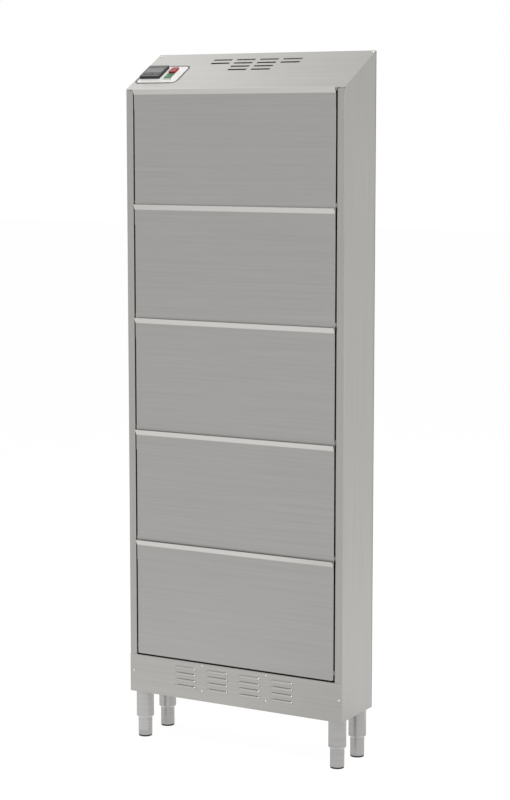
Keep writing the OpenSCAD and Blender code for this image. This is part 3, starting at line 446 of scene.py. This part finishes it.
# Three keys swell from the strip between the seams.
key_width = 0.0165
key_length = 0.0085
key_corner = 0.0018
key_edge = 0.0003
key_rise = 0.00035
key_pitch = 0.0195
for k in (-1, 0, 1):
    key = rounded_block(key_width, key_length, key_corner, face_top - face_below_rim,
                        face_top + key_rise, 4)
    round_edges(key, face_top + key_rise, key_edge, 2)
    add_shape(face, key, (k * key_pitch, sum(seams_up) / 2, 0))
lay_on_roof(face, case_at)

# Polycarbonate with smoke-grey dye, moulded satin: a dark grey with a soft, slightly hazy shine.
smoked = finish("polycarbonate_smoked", ("2f3031", "393a3b"), (0.36, 0.46), (0.015, 0.015, 0.015),
                IOR=1.5)
finish_piece("controller_front", face, smoked, "cabinet", "face_plastic", "controller_face")

# The lens over the display is cast acrylic, a shade lighter than the front and glossier, with the
# smears that fingers leave from side to side.
lens_width = 0.054
lens_length = 0.0245
lens_corner = 0.0012
lens_up = 0.0025
lens_rise = 0.00015
lens = rounded_block(lens_width, lens_length, lens_corner, face_top - face_below_rim,
                     face_top + lens_rise, 4)
lay_on_roof(lens, case_at + Vector((0, lens_up, 0)))
lens_grey = finish("acrylic_lens_grey", ("46494a", "515454"), (0.2, 0.34), (0.012, 0.004, 0.004), 3.0,
                   IOR=1.49)
finish_piece("display_lens", lens, lens_grey, "cabinet", "face_plastic")

# A small unlit lamp beside the lens's upper edge: red polycarbonate, moulded glossy.
lamp_width = 0.0045
lamp_length = 0.0030
lamp_corner = 0.0008
lamp_rise = 0.0002
lamp_right = 0.0199
lamp_up = 0.0109
lamp_lens = rounded_block(lamp_width, lamp_length, lamp_corner, face_top, face_top + lamp_rise, 4)
lay_on_roof(lamp_lens, case_at + Vector((lamp_right, lamp_up, 0)))
lamp_red = finish("polycarbonate_lamp_red", ("8c2430", "a83a44"), (0.25, 0.4), (0.002, 0.002, 0.002),
                  IOR=1.5)
finish_piece("signal_lamp", lamp_lens, lamp_red, "cabinet", "red_plastic")


# ---------------------------------------------------------------- push-buttons
# A double push-button: one moulded body clamped through the roof by a nut, with a flush green cap
# that starts the program and a raised red cap that stops it, and the contact block below.

# Glass-filled polyamide, moulded: satin, with the faint mottle of its filling. The body and the
# contact block are pale, the nut is dark grey.
mottle_cells = (0.01, 0.01, 0.01)
pale = finish("polyamide_pale_moulded", ("d4d4d0", "e0e0dc"), (0.38, 0.55), mottle_cells, 3.0, IOR=1.53)
grey = finish("polyamide_grey_moulded", ("3c3d3f", "4a4b4d"), (0.4, 0.55), mottle_cells, 3.0, IOR=1.53)
dress(pale, "contact_block")
dress(grey, "switch_nut")

start_at = roof_place("start_button")
stop_at = roof_place("stop_button")
cap_size = roof_size("start_button")
switch_low, switch_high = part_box("switch_body")
switch_width = switch_high.x - switch_low.x
switch_margin = 0.004
switch_length = stop_at.y - start_at.y + cap_size.y + switch_margin
switch_at = (start_at + stop_at) / 2
switch_top = label_top + 0.0035
switch_corner = 0.002
switch_edge = 0.0006
well_floor = label_top + 0.0006
well_gap = 0.0002
well_side = 0.00003
barrel_radius = 0.011
barrel_low = label_top - 0.010
barrel_top = label_top + 0.0003

housing = rounded_block(switch_width, switch_length, switch_corner, label_top, switch_top, 6)
round_edges(housing, switch_top, switch_edge, 3)
half_width = cap_size.x / 2 + well_gap
half_length = cap_size.y / 2 + well_gap
half_pitch = (stop_at.y - start_at.y) / 2
for side in (-1, 1):
    score(housing, (side * half_width, 0, 0), (1, 0, 0))
for well in (-1, 1):
    for side in (-1, 1):
        score(housing, (0, well * half_pitch + side * half_length, 0), (0, 1, 0))
for well in (-1, 1):
    inside = [f for f in housing.faces if f.normal.z > 0.99 and abs(f.calc_center_median().x) < half_width
              and abs(f.calc_center_median().y - well * half_pitch) < half_length]
    bmesh.ops.inset_region(housing, faces=inside, thickness=well_side, depth=well_floor - switch_top)
barrel = bmesh.new()
bmesh.ops.create_circle(barrel, cap_ends=True, radius=barrel_radius, segments=48)
thicken(barrel, barrel_low, barrel_top)
add_shape(housing, barrel, (0, 0, 0))
lay_on_roof(housing, switch_at)
finish_piece("switch_housing", housing, pale, "cabinet", "pale_plastic", "switch_body")


def button_cap(name, body, node, finish_name, tones, slot):
    """Cap with a low rim round its top, which keeps a finger tip on it. It is coloured
    polycarbonate, moulded glossy and dulled in patches where fingers press it."""
    corner = 0.0015
    edge = 0.0005
    rim = 0.0006
    hollow_slope = 0.0002
    hollow_depth = 0.00025
    at = roof_place(node)
    size = roof_size(node)
    top = at.z + size.z / 2
    cap = rounded_block(size.x, size.y, corner, at.z - size.z / 2, top, 5)
    round_edges(cap, top, edge, 4)
    hollow = [f for f in cap.faces if f.normal.z > 0.99]
    bmesh.ops.inset_region(cap, faces=hollow, thickness=rim, use_even_offset=True)
    bmesh.ops.inset_region(cap, faces=hollow, thickness=hollow_slope, depth=-hollow_depth,
                           use_even_offset=True)
    lay_on_roof(cap, at)
    plastic = finish(finish_name, tones, (0.34, 0.5), (0.008, 0.008, 0.008), 3.0, IOR=1.46)
    finish_piece(name, cap, plastic, body, slot, node)


button_cap("start_cap", "start", "start_button", "polycarbonate_green", ("0b5c22", "167030"),
           "green_plastic")
button_cap("stop_cap", "stop", "stop_button", "polycarbonate_red", ("8f121f", "a31d29"), "red_plastic")


# ---------------------------------------------------------------- legs and feet
# A turned stainless sleeve screwed under each corner of the pan, and a foot that screws in and out
# of it. The lathe and the polishing belt leave fine rings round the tubes, drawn 0.7 mm wide.

def turned_steel(name):
    """Turned and polished stainless tube: rings too fine to count and wider, softer bands."""
    return finish(name, ("a5a3a2", "aeacab"), (0.36, 0.46), (0.3, 0.3, 0.006),
                  wear_cells=(0.2, 0.2, 0.0007), wear_detail=3.0, relief=(0.2, 0.00005), Metallic=1.0)


# The bevel at a sleeve's lower rim is painted near white as a highlight, a bright line, and is smoother.
rim_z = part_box("leg_sleeve_1")[0].z
rim_bevel = 0.0015
rim_fade = 0.0004
sleeve_steel = turned_steel("stainless_turned_painted_rim_highlight")
paint_highlight(sleeve_steel, "z", (rim_z + rim_bevel, rim_z + rim_bevel + rim_fade), "e6e5e3", 0.3)
dress(sleeve_steel, *[f"leg_sleeve_{k}" for k in range(1, 5)])
dress(turned_steel("stainless_turned"), *[f"foot_{k}" for k in range(1, 5)])

# The pads are moulded black polypropylene, scuffed pale and dull where they drag on the floor.
dress(finish("polypropylene_black", ("222222", "3a3a39"), (0.5, 0.75), (0.005, 0.005, 0.001), 4.0,
             IOR=1.49),
      *[f"foot_pad_{k}" for k in range(1, 5)])


# ---------------------------------------------------------------- studio
# A white paper sweep. The camera, metal and glass see it and the backdrop white, while the light
# that they cast on the object is a plainer grey, so that pale surfaces don't clip.

def seen_directly(tree):
    """1 for rays from the camera, from metal and from glass, and 0 for the light in the room."""
    rays = add_node(tree, "LightPath").outputs
    seen = add_node(tree, "Math", {0: rays["Is Camera Ray"], 1: rays["Is Glossy Ray"]}, operation="ADD")
    seen = {0: seen.outputs[0], 1: rays["Is Transmission Ray"]}
    return add_node(tree, "Math", seen, operation="ADD").outputs[0]


floor_shape = bmesh.new()
bmesh.ops.create_grid(floor_shape, x_segments=1, y_segments=1, size=30.0)
floor_mesh = bpy.data.meshes.new("studio_floor")
floor_shape.to_mesh(floor_mesh)
floor_shape.free()
floor = bpy.data.objects.new("studio_floor", floor_mesh)
bpy.context.scene.collection.objects.link(floor)

# Matt white paper. A glow makes it white to the eye, and the grey over it keeps the shadow.
sweep = bpy.data.materials.new("paper_sweep_white")
sweep.use_nodes = True
tree = sweep.node_tree
tree.nodes.clear()
paper = add_node(tree, "BsdfDiffuse", {"Color": linear("e6e6e6")})
shade = add_node(tree, "BsdfDiffuse", {"Color": linear("6c6c6c")})
glow = add_node(tree, "Emission", {"Color": (1, 1, 1, 1), "Strength": 0.95})
shaded = add_node(tree, "AddShader", {0: glow.outputs[0], 1: shade.outputs[0]})
shown = add_node(tree, "MixShader", {0: seen_directly(tree), 1: paper.outputs[0], 2: shaded.outputs[0]})
add_node(tree, "OutputMaterial", {"Surface": shown.outputs[0]})
floor_mesh.materials.append(sweep)

world = bpy.data.worlds.new("studio_white")
world.use_nodes = True
bpy.context.scene.world = world
tree = world.node_tree
tree.nodes.clear()
room = add_node(tree, "Background", {"Color": linear("8c8c8c"), "Strength": 1.0})
backdrop = add_node(tree, "Background", {"Color": (1, 1, 1, 1), "Strength": 1.0})
shown = add_node(tree, "MixShader", {0: seen_directly(tree), 1: room.outputs[0], 2: backdrop.outputs[0]})
add_node(tree, "OutputWorld", {"Surface": shown.outputs[0]})


def softbox(name, place, aim, size, watts):
    """A square soft lamp at place that faces aim."""
    lamp = bpy.data.lights.new(name, "AREA")
    lamp.shape = "SQUARE"
    lamp.size = size
    lamp.energy = watts
    stand = bpy.data.objects.new(name, lamp)
    bpy.context.scene.collection.objects.link(stand)
    stand.location = place
    stand.rotation_euler = (Vector(aim) - Vector(place)).to_track_quat("-Z", "Y").to_euler()
    stand.visible_camera = False


def floor_light(name, x, y, size, watts):
    """A soft lamp that lies on the floor and shines up, as a lit sweep does."""
    softbox(name, (x, y, 0.02), (x, y, 2.0), size, watts)


# The key lamp hangs high to the front right and lights the label, the plastics and the edges. The
# two overhead, at the rear left, are what the roof mirrors. The lamps on the floor show in the
# fronts, and those to the right and rear in the right side.
softbox("lamp_key", (1.7, -1.0, 3.7), (0.0, 0.0, 0.8), 2.6, 80.0)
softbox("lamp_overhead_left", (-2.3, 1.3, 3.9), (-0.3, 0.0, 1.95), 1.8, 9.3)
softbox("lamp_overhead", (-1.4, 1.0, 4.2), (-0.1, 0.0, 1.95), 2.4, 1.4)
softbox("lamp_right", (3.0, 3.0, 0.8), (0.35, 0.0, 0.8), 2.4, 4.4)
floor_light("lamp_floor_front", -0.72, -0.72, 1.3, 1.25)
floor_light("lamp_floor_far_front", -2.6, -4.2, 3.0, 9.0)
floor_light("lamp_floor_right", 1.05, 1.1, 1.5, 2.3)
floor_light("lamp_floor_far_right", 2.2, 2.9, 2.5, 5.0)


# ---------------------------------------------------------------- camera
# A long lens to the right of the cabinet and a little above its middle, aimed slightly down, so
# that the front, the right side and the sloping roof all show.

view_distance = 5.7479
look = Vector((-0.48953, 0.86247, -0.12847))
target = Vector((0.0726, -0.09075, 1.0324))
camera_data = bpy.data.cameras.new("camera")
camera_data.lens = 92.31
camera_data.sensor_width = 36.0
camera = bpy.data.objects.new("camera", camera_data)
bpy.context.scene.collection.objects.link(camera)
camera.location = target - look * view_distance
camera.rotation_euler = look.to_track_quat("-Z", "Y").to_euler()
bpy.context.scene.camera = camera
bpy.context.scene.view_settings.view_transform = "Standard"
